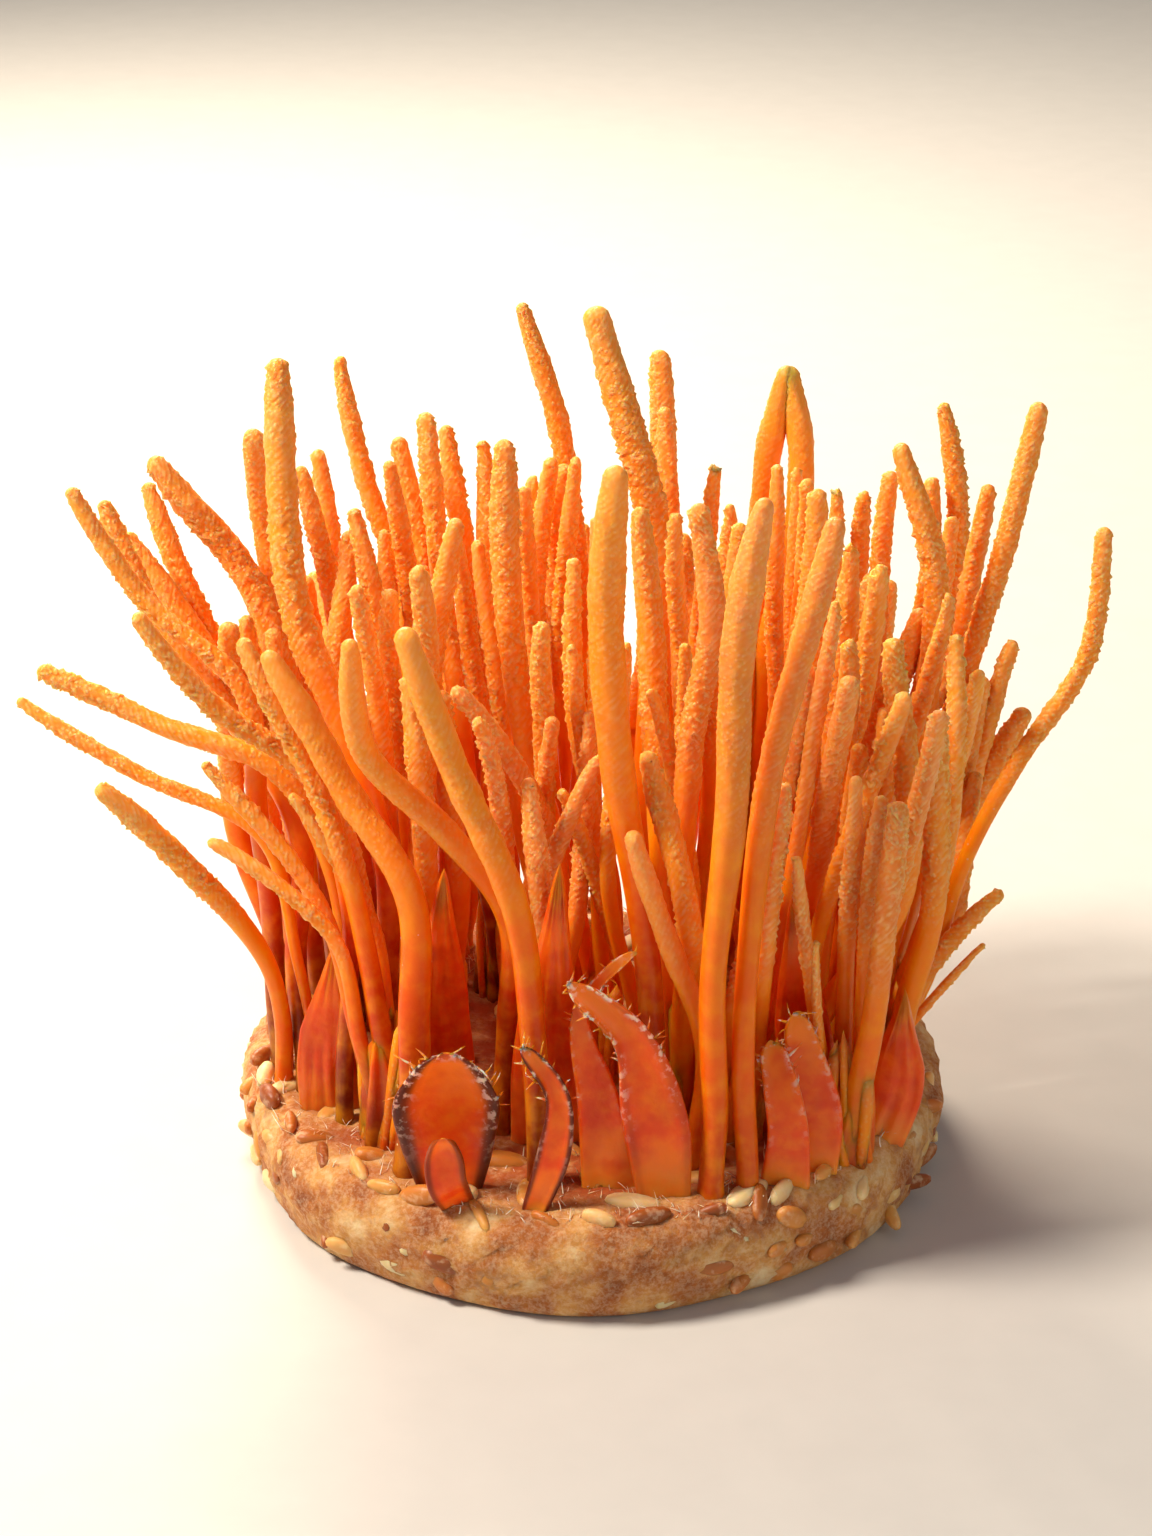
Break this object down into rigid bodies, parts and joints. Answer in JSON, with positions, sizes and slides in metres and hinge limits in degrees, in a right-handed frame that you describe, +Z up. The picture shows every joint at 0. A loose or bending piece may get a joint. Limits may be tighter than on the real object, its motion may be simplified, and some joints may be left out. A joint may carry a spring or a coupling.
{
  "type": "cordyceps bunch",
  "caption": "Bunch of slender upright orange cordyceps clubs, some forked, curled or flattened, standing together on the round grain cake they grew from.",
  "frame": {"origin": "centre of the cake's flat underside", "axes": "+Z up along the clubs, -Y towards the side that the picture shows, +X to its right"},
  "size_m": [0.1069, 0.0856, 0.0858],
  "materials": {
    "left_flesh": "fresh fungal flesh, orange, satin, granular tips",
    "front_flesh": "fresh fungal flesh, orange, satin, granular tips",
    "back_flesh": "fresh fungal flesh, orange, satin, granular tips",
    "right_flesh": "fresh fungal flesh, orange, satin, granular tips",
    "inner_flesh": "fresh fungal flesh, orange, satin, granular tips",
    "blade_flesh": "thin flattened fungal flesh, deep red-orange, moist",
    "grain_cake": "boiled grains bound by pale mycelium, matt and crumbly"
  },
  "bodies": {
    "root": {"blade_bent_arm": "blade_flesh", "blade_bent_broad": "blade_flesh", "blade_crescent": "blade_flesh", "blade_ear_front": "blade_flesh", "blade_ear_small": "blade_flesh", "blade_far_right_glow": "blade_flesh", "blade_front_glow": "blade_flesh", "blade_left_glow": "blade_flesh", "blade_middle_glow": "blade_flesh", "blade_right_broad": "blade_flesh", "blade_right_glow": "blade_flesh", "blade_right_lobe": "blade_flesh", "stem_back_fork": "back_flesh", "stem_back_needle": "back_flesh", "stem_back_tall": "back_flesh", "stem_back_twisted": "back_flesh", "stem_feeler_granular": "inner_flesh", "stem_feeler_lowest": "inner_flesh", "stem_feeler_upper": "inner_flesh", "stem_front_curved": "front_flesh", "stem_front_left_long": "left_flesh", "stem_front_left_slim": "left_flesh", "stem_front_left_stout": "left_flesh", "stem_front_long": "front_flesh", "stem_front_tall_left": "left_flesh", "stem_front_tall_middle": "front_flesh", "stem_front_tall_right": "front_flesh", "stem_left_blunt": "left_flesh", "stem_left_fat": "left_flesh", "stem_left_low": "left_flesh", "stem_left_outer": "left_flesh", "stem_left_tall": "left_flesh", "stem_right_bent": "right_flesh", "stem_right_far": "right_flesh", "stem_right_front": "front_flesh", "stem_right_tall": "right_flesh", "substrate_cake": "grain_cake", "tuft_back_a": "back_flesh", "tuft_back_b": "back_flesh", "tuft_back_c": "back_flesh", "tuft_back_d": "back_flesh", "tuft_back_e": "back_flesh", "tuft_back_f": "back_flesh", "tuft_front_right": "front_flesh", "tuft_front_right_low": "front_flesh", "tuft_inner_front": "front_flesh", "tuft_inner_left": "left_flesh", "tuft_inner_low": "inner_flesh", "tuft_inner_middle": "inner_flesh", "tuft_left_back": "left_flesh", "tuft_left_ledge": "left_flesh", "tuft_left_slender": "left_flesh", "tuft_right_back": "back_flesh", "tuft_right_centre": "right_flesh", "tuft_right_low": "right_flesh", "tuft_right_side": "right_flesh", "tuft_right_twigs": "right_flesh", "tuft_top_centre": "inner_flesh", "tuft_top_left": "left_flesh", "tuft_top_right": "right_flesh"}
  },
  "joints": []
}
